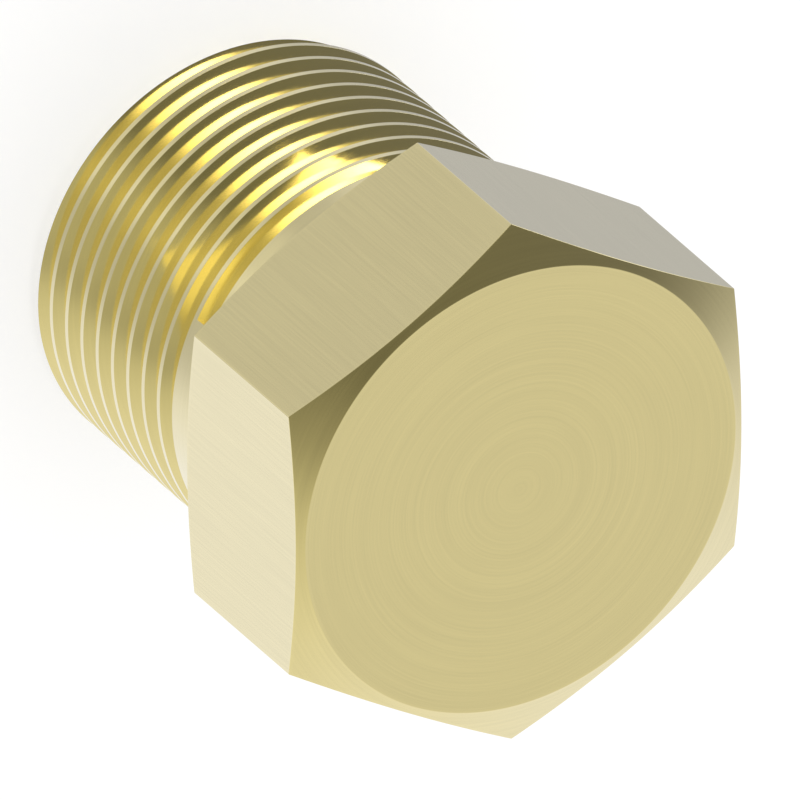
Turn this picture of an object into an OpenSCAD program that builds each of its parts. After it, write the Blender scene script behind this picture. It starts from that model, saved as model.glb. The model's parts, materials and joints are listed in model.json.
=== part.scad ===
// Hex head pipe plug, turned from one piece of hexagonal brass bar.
// It stands on its threaded end: the shank's axis is Z, the threaded end face is at z = 0,
// and the hexagonal head is on top, with the centres of its flats at 0, 60, 120 degrees and so on.

/* [Head] */
// Distance across the flats of the hexagonal head, the wrench size
across_flats = 37.2; // [35.6:0.2:60]
// Height of the head along the axis
head_h = 16.2; // [8:0.1:40]
// Diameter of the flat circle that the chamfer leaves on each end of the head
face_d = 35.9; // [33.6:0.1:37.2]
// Slope of the chamfers on both ends of the head, in degrees from the end face
chamfer_slope = 20; // [10:1:35]

/* [Shank] */
// Outer diameter of the shank, over the thread's crests
thread_d = 33.4; // [26:0.1:35]
// Length of the shank, from the head's underside to the threaded end
shank_l = 26.4; // [20:0.1:40]
// Length and depth of the 45 degree chamfer that leads the thread in
lead_chamfer = 1.8; // [0.5:0.1:3]

/* [Thread] */
// Number of threads in each inch of length
threads_per_inch = 11.5; // [8:0.5:18]
// Width of the flat crest of the thread, along the axis
crest_w = 0.44; // [0.1:0.02:0.6]
// Width of the flat root of the thread, along the axis
root_w = 0.11; // [0.06:0.01:0.3]
// Angle between the two flanks of the groove, in degrees
thread_angle = 60; // [50:1:70]
// Length of plain neck, from the head's underside to the middle of the groove where it ends
neck_l = 4.07; // [2:0.01:10]
// Direction in which the groove ends, in degrees from the centre of a flat
groove_end_angle = 152; // [0:1:360]

/* [Hidden] */
$fn = 144;

inch = 25.4;
pitch = inch / threads_per_inch;

// How far the cutting solids reach past the surfaces that they cut
cut_over = 0.5;

// Number of flat steps in which each turn of the groove is cut
steps_per_turn = 60;

// Slope of one flank, as a rise along the axis for each millimetre of depth
flank_run = tan(thread_angle / 2);
groove_w = pitch - crest_w;
thread_depth = (groove_w - root_w) / 2 / flank_run;

groove_end_z = shank_l - neck_l;
groove_drop = groove_end_z + groove_w / 2 + cut_over;
groove_steps = ceil(groove_drop / pitch * steps_per_turn);

// Distance across the hexagon's corners
corner_d = across_flats / cos(30);

// Outline of the groove's cutter, as radius and height above the groove's middle
function groove_profile() =
    let (
        r_root = thread_d / 2 - thread_depth,
        r_out = thread_d / 2 + cut_over,
        half_root = root_w / 2,
        half_out = groove_w / 2 + cut_over * flank_run
    )
    [[r_root, -half_root], [r_out, -half_out], [r_out, half_out], [r_root, half_root]];

// A point of the outline, carried down the right-hand helix by a number of steps
function on_helix(p, step) =
    let (
        turned = 360 * step / steps_per_turn,
        a = groove_end_angle - turned
    )
    [p[0] * cos(a), p[0] * sin(a), p[1] + groove_end_z - pitch * turned / 360];

// One solid that fills the whole helical groove
module groove_cutter() {
    outline = groove_profile();
    n = len(outline);
    points = [for (s = [0:groove_steps]) for (p = outline) on_helix(p, s)];
    sides = [
        for (s = [0:groove_steps - 1])
            for (i = [0:n - 1])
                let (a = s * n + i, b = s * n + (i + 1) % n)
                for (f = [[a, a + n, b], [b, a + n, b + n]]) f
    ];
    start_cap = [[for (i = [0:n - 1]) i]];
    end_cap = [[for (i = [n - 1:-1:0]) groove_steps * n + i]];
    polyhedron(points = points, faces = concat(start_cap, sides, end_cap));
}

// Plain shank before threading, with the lead-in chamfer at its end
module shank_blank() {
    r = thread_d / 2;
    rotate_extrude()
        polygon([
            [0, 0],
            [r - lead_chamfer, 0],
            [r, lead_chamfer],
            [r, shank_l],
            [0, shank_l]
        ]);
}

// Round outline that turns down the corners of the head by a shallow cone at both ends
module head_turning() {
    r_face = face_d / 2;
    r_out = corner_d / 2 + cut_over;
    drop = (r_out - r_face) * tan(chamfer_slope);
    rotate_extrude()
        polygon([
            [0, 0],
            [r_face, 0],
            [r_out, drop],
            [r_out, head_h - drop],
            [r_face, head_h],
            [0, head_h]
        ]);
}

// Hexagonal head with its turned corners
module hex_head() {
    intersection() {
        rotate([0, 0, 30])
            cylinder(d = corner_d, h = head_h, $fn = 6);
        head_turning();
    }
}

module pipe_plug() {
    color("#d3c68c")
        difference() {
            union() {
                shank_blank();
                translate([0, 0, shank_l]) hex_head();
            }
            groove_cutter();
        }
}

pipe_plug();
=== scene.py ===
# %% [markdown]
# Hex head pipe plug in brass
# A pipe plug closes a threaded port. It is one piece of brass: a hexagonal bar is turned down to
# a round shank, the thread is cut on the shank, and the bar's own six sides stay as the wrench
# head. So this scene has one piece too, and all the care goes into its edges, its thread and its
# metal. The packed model is loaded first and is never moved, and the plug is rebuilt at its size.

# %% Load the packed model as a fixed frame
import json
import math

import bmesh
import bpy
from mathutils import Euler, Matrix, Vector


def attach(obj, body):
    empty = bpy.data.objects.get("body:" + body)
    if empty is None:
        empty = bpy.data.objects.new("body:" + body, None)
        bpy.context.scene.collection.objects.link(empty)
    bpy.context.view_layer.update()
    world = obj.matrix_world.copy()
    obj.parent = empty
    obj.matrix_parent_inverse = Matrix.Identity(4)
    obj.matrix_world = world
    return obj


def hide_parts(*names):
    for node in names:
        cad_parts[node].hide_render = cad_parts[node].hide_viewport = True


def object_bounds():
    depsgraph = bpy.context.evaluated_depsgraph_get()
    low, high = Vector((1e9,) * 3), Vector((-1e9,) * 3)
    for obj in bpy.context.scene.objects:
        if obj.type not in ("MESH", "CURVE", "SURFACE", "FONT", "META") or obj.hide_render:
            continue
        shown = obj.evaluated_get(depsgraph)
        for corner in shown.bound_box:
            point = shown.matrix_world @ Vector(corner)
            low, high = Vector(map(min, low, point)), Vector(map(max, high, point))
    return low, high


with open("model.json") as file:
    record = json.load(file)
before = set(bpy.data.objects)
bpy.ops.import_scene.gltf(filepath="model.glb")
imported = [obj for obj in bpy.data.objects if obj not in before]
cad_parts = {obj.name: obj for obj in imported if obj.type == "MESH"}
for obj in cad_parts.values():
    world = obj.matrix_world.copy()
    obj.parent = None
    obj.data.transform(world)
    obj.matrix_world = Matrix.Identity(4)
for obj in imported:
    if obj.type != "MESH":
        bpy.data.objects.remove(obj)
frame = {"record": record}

MM = 0.001


def sides_in_mm(low, high):
    """The three sides of a box, in millimetres."""
    return [round((b - a) / MM, 3) for a, b in zip(low, high)]


cad_low, cad_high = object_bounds()
print("CAD box in mm:", sides_in_mm(cad_low, cad_high))

# %% [markdown]
# Sizes
# Blender works in metres here, so a millimetre is a named value. The wrench size and the height
# are read from the model's box, and the thread's radius and length from the mount that the
# record states for it. What neither of them tells, such as the number of threads in an inch, is
# written once. Names in capitals are chosen values, and the other names are worked out.

# %% Sizes of the head
FACE_R = 17.95 * MM
CHAMFER_SLOPE = math.radians(20)

head_top = cad_high.z
apothem = (cad_high.x - cad_low.x) / 2
chamfer_rise = math.tan(CHAMFER_SLOPE)
print(f"head {2 * apothem / MM:.1f} mm across its flats, with its face at {head_top / MM:.1f} mm")

# %% Sizes of the shank and its thread
INCH = 25.4 * MM
THREADS_PER_INCH = 11.5
THREAD_ANGLE = math.radians(60)
CREST_W = 0.44 * MM
ROOT_W = 0.11 * MM
NECK_L = 4.07 * MM

thread_mount = next(mount for mount in frame["record"]["mounts"] if mount["name"] == "male_thread")
thread_r = thread_mount["dims"]["r_mm"] * MM
thread_l = thread_mount["dims"]["length_mm"] * MM
thread_middle = thread_mount["pos_m"][2]
lead_chamfer = thread_middle - thread_l / 2
shank_l = thread_middle + thread_l / 2

pitch = INCH / THREADS_PER_INCH
groove_w = pitch - CREST_W
flank_run = math.tan(THREAD_ANGLE / 2)
thread_depth = (groove_w - ROOT_W) / 2 / flank_run
groove_end_z = shank_l - NECK_L
print(f"shank {shank_l / MM:.1f} mm long, with a radius of {thread_r / MM:.1f} mm")
print(f"thread {thread_depth / MM:.3f} mm deep, with a turn in each {pitch / MM:.3f} mm")

# %% [markdown]
# The camera
# The photograph is drawn in parallel projection, so the camera is orthographic: parallel edges
# stay parallel, and the size in the picture doesn't depend on the distance. The view is turned
# and tilted by 30 degrees against the plug's own axes, which gives three unit vectors: to the
# right in the picture, up in the picture, and towards the camera. One measured point, the middle
# of the head's face, then says where the plug sits in the picture.

# %% Directions of the picture
VIEW_TURN = math.radians(30)
VIEW_TILT = math.radians(30)

picture_right = Vector((math.cos(VIEW_TURN), 0, math.sin(VIEW_TURN)))
picture_up = Vector((
    math.sin(VIEW_TILT) * math.sin(VIEW_TURN),
    math.cos(VIEW_TILT),
    -math.sin(VIEW_TILT) * math.cos(VIEW_TURN),
))
to_camera = picture_right.cross(picture_up)
print("the camera looks from", [round(x, 3) for x in to_camera])

# %% Camera at the photograph's viewing angle
PICTURE_SIDE = 800
PIXELS_PER_MM = 13.8382
FACE_CENTRE_PIXEL = (520.35, 489.22)
CAMERA_DISTANCE = 0.4


def in_scene(name, data):
    """A new object, linked to the scene."""
    made = bpy.data.objects.new(name, data)
    bpy.context.scene.collection.objects.link(made)
    return made


camera_data = bpy.data.cameras.new("camera")
camera_data.type = "ORTHO"
camera_data.ortho_scale = PICTURE_SIDE / PIXELS_PER_MM * MM

metres_per_pixel = MM / PIXELS_PER_MM
across = (PICTURE_SIDE / 2 - FACE_CENTRE_PIXEL[0]) * metres_per_pixel
upwards = (FACE_CENTRE_PIXEL[1] - PICTURE_SIDE / 2) * metres_per_pixel
looked_at = Vector((0, 0, head_top)) + across * picture_right + upwards * picture_up

camera = in_scene("camera", camera_data)
turned = Matrix((picture_right, picture_up, to_camera)).transposed().to_4x4()
camera.matrix_world = Matrix.Translation(looked_at + CAMERA_DISTANCE * to_camera) @ turned
bpy.context.scene.camera = camera
print("the picture is", round(camera_data.ortho_scale / MM, 2), "mm wide")

# %% [markdown]
# The turned blank
# Before it gets its thread, the plug is a blank from the lathe. Its shape follows a simple rule:
# cut it open along the axis in any direction and you see one outline, and only the head's
# distance from the axis changes with the direction, because the bar is a hexagon. So the mesh is
# a ring of such outlines, joined by quads. That keeps the cone of the corner chamfers exact, with
# the curved edge that it leaves on each flat, and it needs no boolean.
# No real edge is knife sharp. Each corner of the outline is broken by a tiny flat, and the six
# corners of the bar are rounded, so that each edge catches a thin line of light.

# %% Outline of the blank in one direction
EDGE_BREAK = 0.02 * MM


def broken(points, size):
    """The inner points of a line of points, each cut off by a small flat of its own."""
    result = []
    for before, here, after in zip(points, points[1:], points[2:]):
        back, ahead = (before - here).normalized(), (after - here).normalized()
        result += [here + size * back, here + size * ahead]
    return result


def blank_outline(bar_r):
    """Distance from the axis and height, up the blank's side, where the bar reaches bar_r."""
    drop = (bar_r - FACE_R) * chamfer_rise
    corners = [
        (0, 0),
        (thread_r - lead_chamfer, 0),
        (thread_r, lead_chamfer),
        (thread_r, shank_l),
        (FACE_R, shank_l),
        (bar_r, shank_l + drop),
        (bar_r, head_top - drop),
        (FACE_R, head_top),
        (0, head_top),
    ]
    return broken([Vector(corner) for corner in corners], EDGE_BREAK)


print("one outline has", len(blank_outline(apothem)), "points")

# %% Directions round the axis, and how far the bar reaches in each
SIDES = 6
SIDE_TURN = 360 // SIDES
HALF_SIDE = SIDE_TURN // 2
CORNER_R = 0.12 * MM
CORNER_STEPS = 4


def polar(radius, degrees):
    """A point of the bar's section, by its distance from the middle and its direction."""
    angle = math.radians(degrees)
    return radius * Vector((math.cos(angle), math.sin(angle)))


def bar_points():
    """Points round the hexagonal bar, one for each degree of a flat and a few on each corner."""
    points = []
    corner_centre = (apothem - CORNER_R) / math.cos(math.radians(HALF_SIDE))
    for flat in range(0, 360, SIDE_TURN):
        for lean in range(1 - HALF_SIDE, HALF_SIDE):
            points.append(polar(apothem / math.cos(math.radians(lean)), flat + lean))
        centre = polar(corner_centre, flat + HALF_SIDE)
        for step in range(CORNER_STEPS + 1):
            points.append(centre + polar(CORNER_R, flat + SIDE_TURN * step / CORNER_STEPS))
    return points


print("the bar's outline has", len(bar_points()), "points")

# %% Mesh of the blank
def mesh_data(name, mesh):
    """Keeps what a bmesh holds as mesh data, and lets go of the bmesh."""
    data = bpy.data.meshes.new(name)
    mesh.to_mesh(data)
    mesh.free()
    return data


def blank_mesh():
    """One outline in each direction, joined by quads, with a flat lid at both ends."""
    mesh = bmesh.new()
    columns = []
    for point in bar_points():
        direction = point.normalized()
        columns.append([
            mesh.verts.new((direction.x * r, direction.y * r, z))
            for r, z in blank_outline(point.length)
        ])
    for here, there in zip(columns, columns[1:] + columns[:1]):
        for a, b, c, d in zip(here, there, there[1:], here[1:]):
            mesh.faces.new((a, b, c, d))
    mesh.faces.new([column[0] for column in reversed(columns)])
    mesh.faces.new([column[-1] for column in columns])
    return mesh_data("blank", mesh)


blank = in_scene("blank", blank_mesh())
print("blank:", len(blank.data.vertices), "vertices,", len(blank.data.polygons), "faces")

# %% [markdown]
# One class for node maths
# Node trees are easier to read as formulas than as boxes and wires. The class below wraps one
# output socket. Adding or multiplying wires adds the Math node that does it, also with a plain
# number on either side, so that 1 - mask works. Every other kind of node comes from one method,
# which sets the node's settings first, the stops of a ramp among them, and then fills or links
# its sockets.

# %% A wire is an output socket that knows arithmetic
class Wire:
    """One output socket of a node tree, which stands for its value in formulas."""

    def __init__(self, tree, socket):
        self.tree = tree
        self.socket = socket

    @staticmethod
    def node(tree, kind, settings=None, inputs=None, output=0):
        """Adds a node and returns one output, if it has any. Sockets go by name or by number."""
        made = tree.nodes.new(kind)
        for name, value in (settings or {}).items():
            Wire.set_up(made, name, value)
        for name, value in (inputs or {}).items():
            if isinstance(value, Wire):
                tree.links.new(value.socket, made.inputs[name])
            else:
                made.inputs[name].default_value = value
        return Wire(tree, made.outputs[output]) if made.outputs else None

    @staticmethod
    def set_up(node, name, value):
        """One setting: a ramp's stops as places and greys, a switch's number of items, or any other."""
        if name == "stops":
            elements = node.color_ramp.elements
            while len(elements) < len(value):
                elements.new(1)
            for element, (place, grey) in zip(elements, sorted(value.items())):
                element.position = place
                element.color = (grey, grey, grey, 1)
        elif name == "items":
            while len(node.index_switch_items) < value:
                node.index_switch_items.new()
        else:
            setattr(node, name, value)

    def other(self, name):
        """Another output of the node that this wire comes from."""
        return Wire(self.tree, self.socket.node.outputs[name])

    def parts(self):
        """The x, y and z of a vector, each as a wire of its own."""
        split = Wire.node(self.tree, "ShaderNodeSeparateXYZ", None, {0: self})
        return [split.other(axis) for axis in "XYZ"]

    def math(self, operation, *values):
        inputs = dict(enumerate((self,) + values))
        return Wire.node(self.tree, "ShaderNodeMath", {"operation": operation}, inputs)

    def swapped(self, operation, value):
        """The same operation with the plain number first."""
        return Wire.node(self.tree, "ShaderNodeMath", {"operation": operation}, {0: value, 1: self})

    def __add__(self, other):
        return self.math("ADD", other)

    def __sub__(self, other):
        return self.math("SUBTRACT", other)

    def __rsub__(self, other):
        return self.swapped("SUBTRACT", other)

    def __mul__(self, other):
        return self.math("MULTIPLY", other)

    def __truediv__(self, other):
        return self.math("DIVIDE", other)

    def __rtruediv__(self, other):
        return self.swapped("DIVIDE", other)

    def __neg__(self):
        return self * -1

    def __abs__(self):
        return self.math("ABSOLUTE")

    __radd__ = __add__
    __rmul__ = __mul__

    def smooth(self, start, end):
        """0 before start, 1 after end, and a soft step between them."""
        settings = {"interpolation_type": "SMOOTHSTEP"}
        return Wire.node(self.tree, "ShaderNodeMapRange", settings,
                         {"Value": self, "From Min": start, "From Max": end})

    def between(self, low, high):
        """Where this wire is 0 it gives low, where it is 1 it gives high, and it blends them."""
        return low + (high - low) * self


print("apart from its arithmetic, a wire has", *(name for name in vars(Wire) if name[0] != "_"))

# %% [markdown]
# Brass
# The plug is bare, bright brass, as it comes off the machine. Three things give such metal its
# look. Its colour deepens where the metal faces you, and pales to white where it turns away. Its
# polish is not a mirror's, so what it reflects is a little soft. And its tools leave marks: the
# lathe draws fine rings round the axis on every surface that it turns, while the flats of the
# head still have the skin of the drawn bar, with lines along the axis. All of them are worked out
# from the place of a point on the plug, so no picture is needed and they fit the shape exactly.

# %% Where a point lies on the plug
corner_r = apothem / math.cos(math.radians(HALF_SIDE))


def plug_places(tree):
    """Wires in metres that a finish can be placed by."""
    x, y, z = Wire.node(tree, "ShaderNodeTexCoord", output="Object").parts()
    r = (x * x + y * y).math("SQRT")
    slant = polar(1, SIDE_TURN)
    one_pair = abs(x * slant.x + y * slant.y)
    other_pair = abs(x * slant.x - y * slant.y)
    hexagon = abs(x).math("MAXIMUM", one_pair).math("MAXIMUM", other_pair)
    drop = ((r - FACE_R) * chamfer_rise).math("MAXIMUM", 0)
    return {
        "x": x,
        "y": y,
        "z": z,
        "r": r,
        "inside flats": apothem - hexagon,
        "below top": head_top - drop - z,
        "above underside": z - shank_l - drop,
    }


print(f"the head reaches {corner_r / MM:.2f} mm from the axis at its corners")

# %% [markdown]
# Marks of the tools
# A lathe's rings depend only on how far the tool had come, so one number, the distance from the
# axis plus the height, tells the rings of the face, the cones and the shank apart. Noise that
# changes quickly with that number makes rings of uneven depth. Broader bands lie among them, and
# a slow change across the plug keeps them from being perfect circles. The bar's drawn lines are
# the same noise, which changes quickly round the axis and slowly along it. All these marks are
# less than two thousandths of a millimetre deep.

# %% Rings of the lathe
RING = 0.13 * MM
BAND = 9 * RING
RING_SHARE = 0.7
RING_WANDER = 14 * MM
BAND_SHIFT = 5
GRAIN_ROUGHNESS = 0.6


def grain(tree, x, y, z, detail):
    """Noise from 0 to 1, finer along x, y or z where that has been divided by a smaller size."""
    where = Wire.node(tree, "ShaderNodeCombineXYZ", None, {"X": x, "Y": y, "Z": z})
    return Wire.node(tree, "ShaderNodeTexNoise", None, {
        "Vector": where, "Scale": 1.0, "Detail": detail, "Roughness": GRAIN_ROUGHNESS})


def turned_rings(tree, place):
    """Fine rings with broader bands among them, from 0 to 1."""
    fed = place["r"] + place["z"]
    wander_x, wander_y = place["x"] / RING_WANDER, place["y"] / RING_WANDER
    rings = grain(tree, fed / RING, wander_x, wander_y, detail=2)
    bands = grain(tree, fed / BAND, wander_x + BAND_SHIFT, wander_y, detail=1)
    return RING_SHARE * rings + (1 - RING_SHARE) * bands


print(f"rings are about {RING / MM:.2f} mm wide, and bands about {BAND / MM:.2f} mm")

# %% Lines of the drawn bar
DRAWN_LINE = 0.16 * MM
DRAWN_LENGTH = 9 * MM
NECK_FADE = 0.05 * MM
SKIN_FADE = (0.005 * MM, 0.02 * MM)


def drawn_lines(tree, place):
    """Lines along the axis, from 0 to 1."""
    x, y, z = place["x"] / DRAWN_LINE, place["y"] / DRAWN_LINE, place["z"] / DRAWN_LENGTH
    return grain(tree, x, y, z, detail=2)


def bar_skin(place):
    """1 on the six flats, which keep the bar's own skin, and 0 where the lathe has cut."""
    on_head = place["z"].smooth(shank_l, shank_l + NECK_FADE)
    return on_head * (1 - place["inside flats"].smooth(*SKIN_FADE))


print(f"drawn lines are about {DRAWN_LINE / MM:.2f} mm wide and {DRAWN_LENGTH / MM:.0f} mm long")

# %% [markdown]
# Wear and handling
# Edges are rubbed bright first, and faces pick up faint smudges from hands. The distance to the
# nearest edge of the head comes from the same places: it is zero where a flat meets a cone, at
# the six corners, and at the circle of the face.

# %% How rubbed and how smudged a point is
WEAR_WIDTH = 0.35 * MM
SMUDGE = 7 * MM


def edge_wear(place):
    """1 on the edges of the head, and 0 away from them."""
    top_edge = place["inside flats"] + abs(place["below top"])
    bottom_edge = place["inside flats"] + abs(place["above underside"])
    bar_corner = corner_r - place["r"]
    face_edge = abs(place["r"] - FACE_R) + abs(head_top - place["z"])
    nearest = top_edge
    for edge in (bottom_edge, bar_corner, face_edge):
        nearest = nearest.math("MINIMUM", edge)
    return 1 - nearest.smooth(0, WEAR_WIDTH)


def smudges(tree, place):
    """Soft clouds, from 0 to 1."""
    x, y, z = [place[axis] / SMUDGE for axis in "xyz"]
    return grain(tree, x, y, z, detail=3)


print(f"edges are rubbed over {WEAR_WIDTH / MM:.2f} mm, and smudges are about {SMUDGE / MM:.0f} mm wide")

# %% [markdown]
# The shader
# A metal's colour is the colour of its reflection. Brass seen straight on takes the blue out of
# what it reflects, and brass seen at a slant reflects nearly white. So two metals are mixed by
# Layer Weight, which tells how far the surface is turned away. PALING is the pale metal's share
# where it is turned away altogether. The marks go to a Bump node. Marks, smudges and wear also
# change the roughness and the shade a little, each by its own amount. The pale metal changes
# less than the brass does, because marks show less at a slant.

# %% Values of the brass
BRASS = (0.90, 0.75, 0.25)
PALE_BRASS = (0.95, 0.95, 0.95)
PALING = 0.79
PALE_CONTRAST = 0.6
POLISH = 0.13
MARK_DEPTH = 0.0015 * MM
MEAN_GRAIN = 0.5
ROUGHER = {"marks": 0.08, "smudges": 0.06, "skin": 0.02, "wear": -0.03}
LIGHTER = {"marks": 0.2, "smudges": 0.04, "wear": 0.03}


def varied(value, amounts, causes):
    """The value with each cause added, times its own amount."""
    for cause, amount in amounts.items():
        value = value + amount * causes[cause]
    return value


print("roughness varies by", list(ROUGHER), "and shade by", list(LIGHTER))

# %% Brass from the lathe and the drawbench
def emptied(made):
    """A material or world, with its node tree switched on and empty."""
    made.use_nodes = True
    made.node_tree.nodes.clear()
    return made


def metal_surface(tree, metal, shade, roughness, relief):
    """Metal of one colour, which its shade makes lighter or darker."""
    colour = Wire.node(tree, "ShaderNodeVectorMath", {"operation": "SCALE"}, {0: metal, "Scale": shade})
    return Wire.node(tree, "ShaderNodeBsdfPrincipled", None, {
        "Base Color": colour, "Metallic": 1.0, "Roughness": roughness, "Normal": relief})


def brass_finish():
    finish = emptied(bpy.data.materials.new("turned_brass"))
    tree = finish.node_tree
    place = plug_places(tree)
    skin = bar_skin(place)
    marks = skin.between(turned_rings(tree, place), drawn_lines(tree, place))
    causes = {
        "marks": marks - MEAN_GRAIN,
        "smudges": smudges(tree, place) - MEAN_GRAIN,
        "skin": skin,
        "wear": edge_wear(place),
    }
    roughness = varied(POLISH, ROUGHER, causes)
    shade = varied(1, LIGHTER, causes)
    pale_shade = 1 + PALE_CONTRAST * (shade - 1)
    relief = Wire.node(tree, "ShaderNodeBump", None, {
        "Height": marks * MARK_DEPTH, "Distance": 1.0, "Strength": 1.0})
    brass = metal_surface(tree, BRASS, shade, roughness, relief)
    pale = metal_surface(tree, PALE_BRASS, pale_shade, roughness, relief)
    turned_away = Wire.node(tree, "ShaderNodeLayerWeight", None,
                            {"Blend": 0.5, "Normal": relief}, "Facing")
    mixed = Wire.node(tree, "ShaderNodeMixShader", None, {0: PALING * turned_away, 1: brass, 2: pale})
    Wire.node(tree, "ShaderNodeOutputMaterial", None, {"Surface": mixed})
    return finish


turned_brass = brass_finish()
print("the brass has", len(turned_brass.node_tree.nodes), "nodes")

# %% [markdown]
# The thread
# A thread is a groove that follows a helix, so the way to make it here is the way of the lathe:
# a tool with the groove's section is drawn along the helix, and what it passes through is taken
# out of the blank. Geometry Nodes do just that. A spiral curve is the tool's path, six corners
# are its section, Curve to Mesh sweeps one along the other, and a boolean takes the sweep away.
# A single curve keeps the pitch true over every turn, and the groove runs out through the
# lead-in chamfer by itself. Each size of the groove is a named input of the tree.

# %% Inputs of the groove's tree
GROOVE_INPUTS = {
    "Crest radius": "NodeSocketFloat",
    "Pitch": "NodeSocketFloat",
    "Turns": "NodeSocketFloat",
    "Steps per turn": "NodeSocketInt",
    "End height": "NodeSocketFloat",
    "End angle": "NodeSocketFloat",
    "Depth": "NodeSocketFloat",
    "Root half width": "NodeSocketFloat",
    "Crest half gap": "NodeSocketFloat",
    "Flank run": "NodeSocketFloat",
    "Crest break": "NodeSocketFloat",
    "Reach": "NodeSocketFloat",
    "Metal": "NodeSocketMaterial",
}
print("the groove takes", len(GROOVE_INPUTS), "values")

# %% [markdown]
# The tool's path
# The Spiral node draws a helix when its two radii are the same. It starts at zero height, so it
# is lowered and turned until its last point is where the groove has to end. The curve's normals
# are set to Z Up, so that they point away from the axis and the section stays level.

# %% The tool's path
def tool_path(tree, given):
    """The helix, with its last point at the groove's end."""
    turns, climb = given["Turns"], given["Turns"] * given["Pitch"]
    spiral = Wire.node(tree, "GeometryNodeCurveSpiral", None, {
        "Resolution": given["Steps per turn"], "Rotations": turns,
        "Start Radius": given["Crest radius"], "End Radius": given["Crest radius"],
        "Height": climb, "Reverse": True})
    start = Wire.node(tree, "ShaderNodeCombineXYZ", None, {"Z": given["End height"] - climb})
    turn = Wire.node(tree, "ShaderNodeCombineXYZ", None, {"Z": given["End angle"] - turns * math.tau})
    placed = Wire.node(tree, "GeometryNodeTransform", None,
                       {"Geometry": spiral, "Translation": start, "Rotation": turn})
    return Wire.node(tree, "GeometryNodeSetCurveNormal", {"mode": "Z_UP"}, {"Curve": placed})


print("one turn of the path climbs", round(pitch / MM, 4), "mm")

# %% [markdown]
# The tool's section
# The section is a trapezium as wide as the groove, with its narrow side at the root. Just under
# the crest its sides lean out further, which breaks the crest's two sharp edges as a real tool
# does. A line of six points becomes this outline when each point is moved to the corner of the
# same number, which an Index Switch looks up.

# %% The tool's section
def tool_section(tree, given):
    """The tool's section as a closed curve: x points away from the axis, y along it."""
    rim, reach = given["Crest break"], given["Reach"]
    rim_half = given["Crest half gap"] - rim * given["Flank run"]
    outer_half = given["Crest half gap"] + rim + reach * (given["Flank run"] + 1)
    upper = [(-given["Depth"], given["Root half width"]), (-rim, rim_half), (reach, outer_half)]
    outline = [(x, -y) for x, y in upper] + upper[::-1]
    corners = [Wire.node(tree, "ShaderNodeCombineXYZ", None, {"X": x, "Y": y}) for x, y in outline]
    number = Wire.node(tree, "GeometryNodeInputIndex")
    corner = Wire.node(tree, "GeometryNodeIndexSwitch", {"data_type": "VECTOR", "items": len(corners)},
                       dict(enumerate([number, *corners])))
    line = Wire.node(tree, "GeometryNodeMeshLine", None, {"Count": len(corners)})
    shaped = Wire.node(tree, "GeometryNodeSetPosition", None, {"Geometry": line, "Position": corner})
    curve = Wire.node(tree, "GeometryNodeMeshToCurve", None, {"Mesh": shaped})
    return Wire.node(tree, "GeometryNodeSetSplineCyclic", None, {"Geometry": curve, "Cyclic": True})


print(f"the section is {groove_w / MM:.2f} mm wide at the crest and {ROOT_W / MM:.2f} mm at the root")

# %% [markdown]
# The cut
# The tree puts the path and the section together. The Manifold solver is the quickest of the
# boolean's three, and it needs closed meshes, which the blank and the sweep both are. The tree
# ends in Realize Instances and Set Material, so that one plain mesh with its metal leaves it.

# %% Geometry Nodes tree that cuts a helical groove
def groove_tree():
    tree = bpy.data.node_groups.new("helical_groove", "GeometryNodeTree")
    tree.interface.new_socket("Blank", in_out="INPUT", socket_type="NodeSocketGeometry")
    for name, kind in GROOVE_INPUTS.items():
        tree.interface.new_socket(name, in_out="INPUT", socket_type=kind)
    tree.interface.new_socket("Plug", in_out="OUTPUT", socket_type="NodeSocketGeometry")
    blank_in = Wire.node(tree, "NodeGroupInput", output="Blank")
    given = {name: blank_in.other(name) for name in GROOVE_INPUTS}
    cutter = Wire.node(tree, "GeometryNodeCurveToMesh", None, {
        "Curve": tool_path(tree, given), "Profile Curve": tool_section(tree, given), "Fill Caps": True})
    cut = Wire.node(tree, "GeometryNodeMeshBoolean", {"operation": "DIFFERENCE", "solver": "MANIFOLD"},
                    {"Mesh 1": blank_in, "Mesh 2": cutter})
    plain = Wire.node(tree, "GeometryNodeRealizeInstances", None, {0: cut})
    metal = Wire.node(tree, "GeometryNodeSetMaterial", None,
                      {"Geometry": plain, "Material": given["Metal"]})
    Wire.node(tree, "NodeGroupOutput", None, {"Plug": metal})
    return tree


groove = groove_tree()
print("the groove's tree has", len(groove.nodes), "nodes")

# %% [markdown]
# The groove of this plug
# A boolean wants clear cuts, not faces that only touch. So the tool starts some way below the
# end face, and its section reaches past the crests. The values go to the modifier by the
# identifiers of the tree's sockets, before Blender first works the object out. What comes out is
# kept as a plain mesh, and the blank is thrown away.

# %% Values of the groove
GROOVE_END_ANGLE = math.radians(152)
CREST_BREAK = 0.005 * MM
STEPS_PER_TURN = 250
REACH = 0.1 * MM
SPARE_REACHES = 4
SPARE_TURNS = 0.1

drop_to_clear = groove_end_z + groove_w / 2 + SPARE_REACHES * REACH
groove_values = {
    "Crest radius": thread_r,
    "Pitch": pitch,
    "Turns": drop_to_clear / pitch + SPARE_TURNS,
    "Steps per turn": STEPS_PER_TURN,
    "End height": groove_end_z,
    "End angle": GROOVE_END_ANGLE,
    "Depth": thread_depth,
    "Root half width": ROOT_W / 2,
    "Crest half gap": groove_w / 2,
    "Flank run": flank_run,
    "Crest break": CREST_BREAK,
    "Reach": REACH,
    "Metal": turned_brass,
}
print("the tool goes round", round(groove_values["Turns"], 2), "times")

# %% Cut the thread and keep the result as a plain mesh
lathe = blank.modifiers.new("groove", "NODES")
lathe.node_group = groove
for item in groove.interface.items_tree:
    if item.name in groove_values:
        lathe[item.identifier] = groove_values[item.name]

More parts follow.
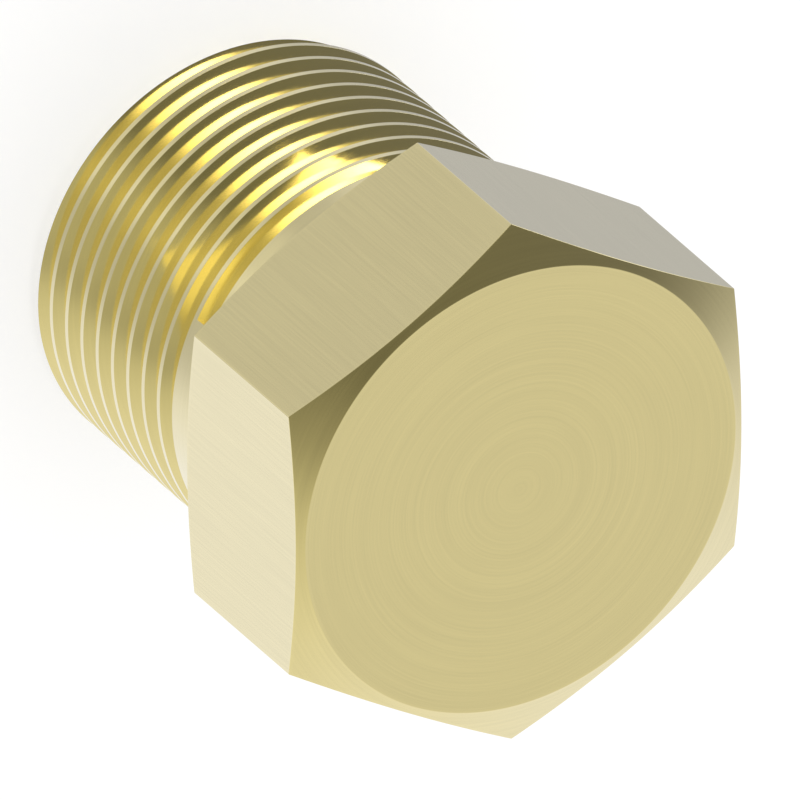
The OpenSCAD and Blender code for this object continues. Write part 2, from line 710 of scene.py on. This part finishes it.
evaluated = blank.evaluated_get(bpy.context.evaluated_depsgraph_get())
plug = in_scene("pipe_plug_brass", bpy.data.meshes.new_from_object(evaluated))
bpy.data.objects.remove(blank)
print("plug:", len(plug.data.vertices), "vertices,", len(plug.data.polygons), "faces")

# %% [markdown]
# Smooth metal with crisp edges
# The mesh is made of small flat faces, but the real shank is round. Smooth shading hides the
# steps, as long as the real edges are marked sharp, so that they don't smear into the flats
# beside them. Neighbouring steps differ by a degree or two and real edges by ten or more, so one
# angle tells them apart. Points that the cut left on top of each other are merged first.

# %% Merge doubles, mark edges, and measure the finished mesh
SAME_POINT = 0.001 * MM
SHARP_ANGLE = math.radians(5)


def finish_mesh(data):
    """Cleans and shades the mesh, and returns its number of open edges and its volume."""
    mesh = bmesh.new()
    mesh.from_mesh(data)
    bmesh.ops.remove_doubles(mesh, verts=mesh.verts, dist=SAME_POINT)
    bmesh.ops.dissolve_degenerate(mesh, edges=mesh.edges, dist=SAME_POINT / 2)
    for face in mesh.faces:
        face.smooth = True
    for edge in mesh.edges:
        edge.smooth = edge.calc_face_angle(math.pi) < SHARP_ANGLE
    open_edges = sum(not edge.is_manifold for edge in mesh.edges)
    volume = mesh.calc_volume()
    mesh.to_mesh(data)
    mesh.free()
    return open_edges, volume


open_edges, volume = finish_mesh(plug.data)
triangles = sum(len(face.vertices) - 2 for face in plug.data.polygons)
print(f"{open_edges} open edges, {volume / MM ** 3:.0f} cubic mm of brass, {triangles} triangles")

# %% [markdown]
# The floor
# The plug stands on its threaded end on a plain pale floor. The floor glows for the camera's
# rays, which Light Path tells apart, and the rest of its white is light that falls on it, so the
# plug still casts a soft shadow there. Rays that come from the metal pass through the floor to
# the studio's own pale ground, which lies further away.

# %% Floor's finish
FLOOR_GLOW = 0.72
FLOOR_GREY = (0.3, 0.3, 0.3, 1)


def ray_kinds(tree):
    """Light Path's answers, as wires: the ray comes from the camera, from gloss, through glass."""
    camera_ray = Wire.node(tree, "ShaderNodeLightPath", output="Is Camera Ray")
    return camera_ray, camera_ray.other("Is Glossy Ray"), camera_ray.other("Is Transmission Ray")


def floor_finish():
    finish = emptied(bpy.data.materials.new("pale_floor"))
    tree = finish.node_tree
    camera_ray, glossy_ray, transmission_ray = ray_kinds(tree)
    glow = FLOOR_GLOW * (camera_ray + transmission_ray)
    matt = Wire.node(tree, "ShaderNodeBsdfDiffuse", None, {"Color": FLOOR_GREY})
    glowing = Wire.node(tree, "ShaderNodeEmission", None, {"Strength": glow})
    lit = Wire.node(tree, "ShaderNodeAddShader", None, {0: matt, 1: glowing})
    beyond = Wire.node(tree, "ShaderNodeBsdfTransparent")
    surface = Wire.node(tree, "ShaderNodeMixShader", None, {0: glossy_ray, 1: lit, 2: beyond})
    Wire.node(tree, "ShaderNodeOutputMaterial", None, {"Surface": surface})
    return finish


pale_floor = floor_finish()
print("the floor glows", FLOOR_GLOW, "of white")

# %% Floor
FLOOR_SIDE = 3.0


def floor_mesh():
    mesh = bmesh.new()
    bmesh.ops.create_grid(mesh, x_segments=1, y_segments=1, size=FLOOR_SIDE / 2)
    return mesh_data("floor", mesh)


floor = in_scene("floor", floor_mesh())
floor.data.materials.append(pale_floor)
print("floor:", FLOOR_SIDE, "m wide")

# %% [markdown]
# The studio
# Bright metal in an even white room has no shape, because it shows only what stands round it. A
# photographer gives it a pale ground on one side, and a dark card and lamps elsewhere. The world
# here is that room: white for the camera and through glass, and for the metal a wall, a card, a
# ground and lamps. The direction of a ray is all that it depends on, and the parts of a direction
# run from -1 to 1. The pale ground is on the -Y side, where y is below 0. It takes over from the
# wall little by little, as a curved backdrop does. Higher up the wall goes over into a dark card,
# which is full where z reaches CARD_Z.

# %% Values of the room
EVEN_LIGHT = 0.6
BACK_WALL = 0.55
DARK_CARD = 0.17
CARD_Z = 0.5
PALE_GROUND = 0.91
GROUND_FALL = 0.1
GROUND_SHARE = {0.05: 0, 0.1: 0.04, 0.2: 0.18, 0.4: 0.66, 0.5: 0.77, 0.7: 0.92, 1: 1}


def room_light(tree, direction):
    """Light of wall, card and ground. The ground's share is given for some values of -y."""
    _, y, z = direction.parts()
    wall = z.smooth(0, CARD_Z).between(BACK_WALL, DARK_CARD)
    ground = PALE_GROUND - GROUND_FALL * z
    share = Wire.node(tree, "ShaderNodeValToRGB", {"stops": GROUND_SHARE}, {"Fac": -y})
    return share.between(wall, ground)


print("the ground gives", PALE_GROUND, "of white, the wall", BACK_WALL, "and the card", DARK_CARD)

# %% [markdown]
# Lamps of the studio
# A lamp in this room is a patch of directions with more light, and all its angles are in degrees.
# Its place is its turn round the plug, from +X towards +Y, and its rise above the horizon. Soft
# spots are round and faint, and each changes what a few surfaces of the plug show. The one with a
# negative light is a grey card, which takes some light away. The two softboxes are long and
# bright, and their tilt turns them about their middle. They stand on the +Y side and make the
# bright streaks in the thread.

# %% Soft spots
SPOT_RADIUS = 23
SOFT_SPOTS = [
    {"turn": 150, "rise": -30, "light": 0.6},
    {"turn": 170, "rise": 67, "light": 0.3},
    {"turn": 55, "rise": -62, "light": 0.27},
    {"turn": 130, "rise": -38, "light": 0.18},
    {"turn": -15, "rise": -43, "light": -0.08},
]


def along(tree, direction, axis):
    """How far a direction points along an axis: the cosine of the angle between them."""
    return Wire.node(tree, "ShaderNodeVectorMath", {"operation": "DOT_PRODUCT"},
                     {0: direction, 1: axis}, "Value")


def lamp_axes(lamp):
    """Three unit vectors: towards the lamp's middle, level across it, and up it."""
    place = Euler((0, -math.radians(lamp["rise"]), math.radians(lamp["turn"]))).to_matrix()
    return place.transposed()


def soft_spot(tree, direction, spot):
    """Light that is full in the spot's middle and fades out at its radius."""
    middle, _, _ = lamp_axes(spot)
    edge = math.cos(math.radians(SPOT_RADIUS))
    return spot["light"] * along(tree, direction, middle).smooth(edge, 1)


print("the studio has", len(SOFT_SPOTS), "soft spots")

# %% Softboxes
SOFTBOXES = [
    {"turn": 90, "rise": -1, "tilt": -3, "length": (1.5, 32), "height": (2.5, 15), "light": 8},
    {"turn": 51, "rise": -19, "tilt": -19, "length": (0, 44), "height": (2, 10), "light": 6.5},
]


def softbox(tree, direction, box):
    """Light of a long lamp. Its length and height are angles where it starts to fade and ends."""
    middle, level, upright = lamp_axes(box)
    tilt = math.radians(box["tilt"])
    long_side = math.cos(tilt) * level + math.sin(tilt) * upright
    short_side = math.cos(tilt) * upright - math.sin(tilt) * level
    light = box["light"] * along(tree, direction, middle).math("GREATER_THAN", 0)
    for side, extent in ((long_side, box["length"]), (short_side, box["height"])):
        fade, end = [math.radians(angle) for angle in extent]
        off_middle = abs(along(tree, direction, side)).math("ARCSINE")
        light = light * (1 - off_middle.smooth(fade, end))
    return light


print("the studio has", len(SOFTBOXES), "softboxes")

# %% World
def studio_light(tree):
    """All that the metal sees in each direction."""
    direction = Wire.node(tree, "ShaderNodeTexCoord", output="Generated")
    light = room_light(tree, direction)
    for spot in SOFT_SPOTS:
        light = light + soft_spot(tree, direction, spot)
    for box in SOFTBOXES:
        light = light + softbox(tree, direction, box)
    return light


def studio_world():
    """The studio for glossy rays, white for the camera and glass, and even light for the rest."""
    world = emptied(bpy.data.worlds.new("studio"))
    tree = world.node_tree
    camera_ray, glossy_ray, transmission_ray = ray_kinds(tree)
    seen = (camera_ray + glossy_ray + transmission_ray).math("MINIMUM", 1)
    view = glossy_ray.between(1, studio_light(tree))
    air = Wire.node(tree, "ShaderNodeBackground", None, {
        "Color": (1, 1, 1, 1), "Strength": seen.between(EVEN_LIGHT, view)})
    Wire.node(tree, "ShaderNodeOutputWorld", None, {"Surface": air})
    return world


bpy.context.scene.world = studio_world()
print("the world has", len(bpy.context.scene.world.node_tree.nodes), "nodes")

# %% [markdown]
# The lamp over the floor
# One wide lamp hangs over the floor for the plug's shadow. The wider a lamp is against its
# distance, the softer the shadow. It is hidden from the metal, which has the studio's lamps.

# %% Lamp and colours
LAMP_SIDE = 0.5
LAMP_PLACE = (0.05, -0.1, 0.6)
LAMP_WATTS = 2.4

lamp_data = bpy.data.lights.new("overhead", "AREA")
lamp_data.size = LAMP_SIDE
lamp_data.energy = LAMP_WATTS
overhead = in_scene("overhead", lamp_data)
overhead.location = LAMP_PLACE
overhead.visible_camera = False
overhead.visible_glossy = False

bpy.context.scene.view_settings.view_transform = "Standard"
print("lamp:", LAMP_WATTS, "W at", LAMP_PLACE[2], "m")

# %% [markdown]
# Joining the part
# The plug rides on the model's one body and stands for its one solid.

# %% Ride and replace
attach(plug, "root")
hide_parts("pipe_plug")
